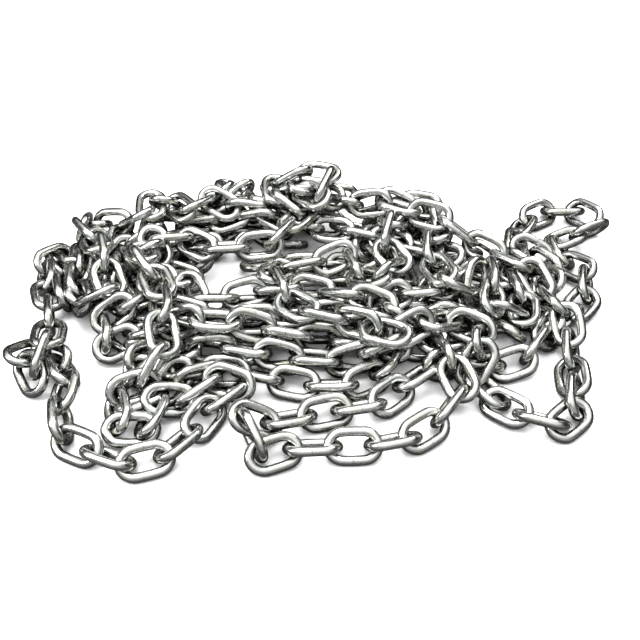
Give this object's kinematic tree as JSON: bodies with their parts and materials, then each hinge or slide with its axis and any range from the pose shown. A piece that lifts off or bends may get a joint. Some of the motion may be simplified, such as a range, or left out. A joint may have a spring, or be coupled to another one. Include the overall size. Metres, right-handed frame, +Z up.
{
  "type": "heap of steel chain",
  "caption": "Loose heap of one length of welded steel link chain, lying as it was dropped, with its end links free.",
  "frame": {"origin": "on the floor, at the middle of the heap's footprint box", "axes": "+X along the heap's long way, to the right as the picture shows it; +Y to the back; +Z up from the floor the heap lies on"},
  "size_m": [0.622, 0.4176, 0.0859],
  "materials": {
    "chain": "bright zinc-plated"
  },
  "bodies": {
    "root": {"links_001_to_001": "chain", "links_002_to_005": "chain", "links_006_to_009": "chain", "links_010_to_013": "chain", "links_014_to_017": "chain", "links_018_to_021": "chain", "links_022_to_025": "chain", "links_026_to_029": "chain", "links_030_to_033": "chain", "links_034_to_037": "chain", "links_038_to_041": "chain", "links_042_to_045": "chain", "links_046_to_049": "chain", "links_050_to_053": "chain", "links_054_to_057": "chain", "links_058_to_061": "chain", "links_062_to_065": "chain", "links_066_to_069": "chain", "links_070_to_073": "chain", "links_074_to_077": "chain", "links_078_to_081": "chain", "links_082_to_085": "chain", "links_086_to_089": "chain", "links_090_to_093": "chain", "links_094_to_097": "chain", "links_098_to_101": "chain", "links_102_to_105": "chain", "links_106_to_109": "chain", "links_110_to_113": "chain", "links_114_to_117": "chain", "links_118_to_121": "chain", "links_122_to_125": "chain", "links_126_to_129": "chain", "links_130_to_133": "chain", "links_134_to_137": "chain", "links_138_to_141": "chain", "links_142_to_145": "chain", "links_146_to_149": "chain", "links_150_to_153": "chain", "links_154_to_157": "chain", "links_158_to_161": "chain", "links_162_to_165": "chain", "links_166_to_169": "chain", "links_170_to_173": "chain", "links_174_to_177": "chain", "links_178_to_181": "chain", "links_182_to_185": "chain", "links_186_to_189": "chain", "links_190_to_193": "chain", "links_194_to_197": "chain", "links_198_to_201": "chain", "links_202_to_205": "chain", "links_206_to_209": "chain", "links_210_to_213": "chain", "links_214_to_217": "chain", "links_218_to_218": "chain", "inner_core": "chain"}
  },
  "joints": []
}
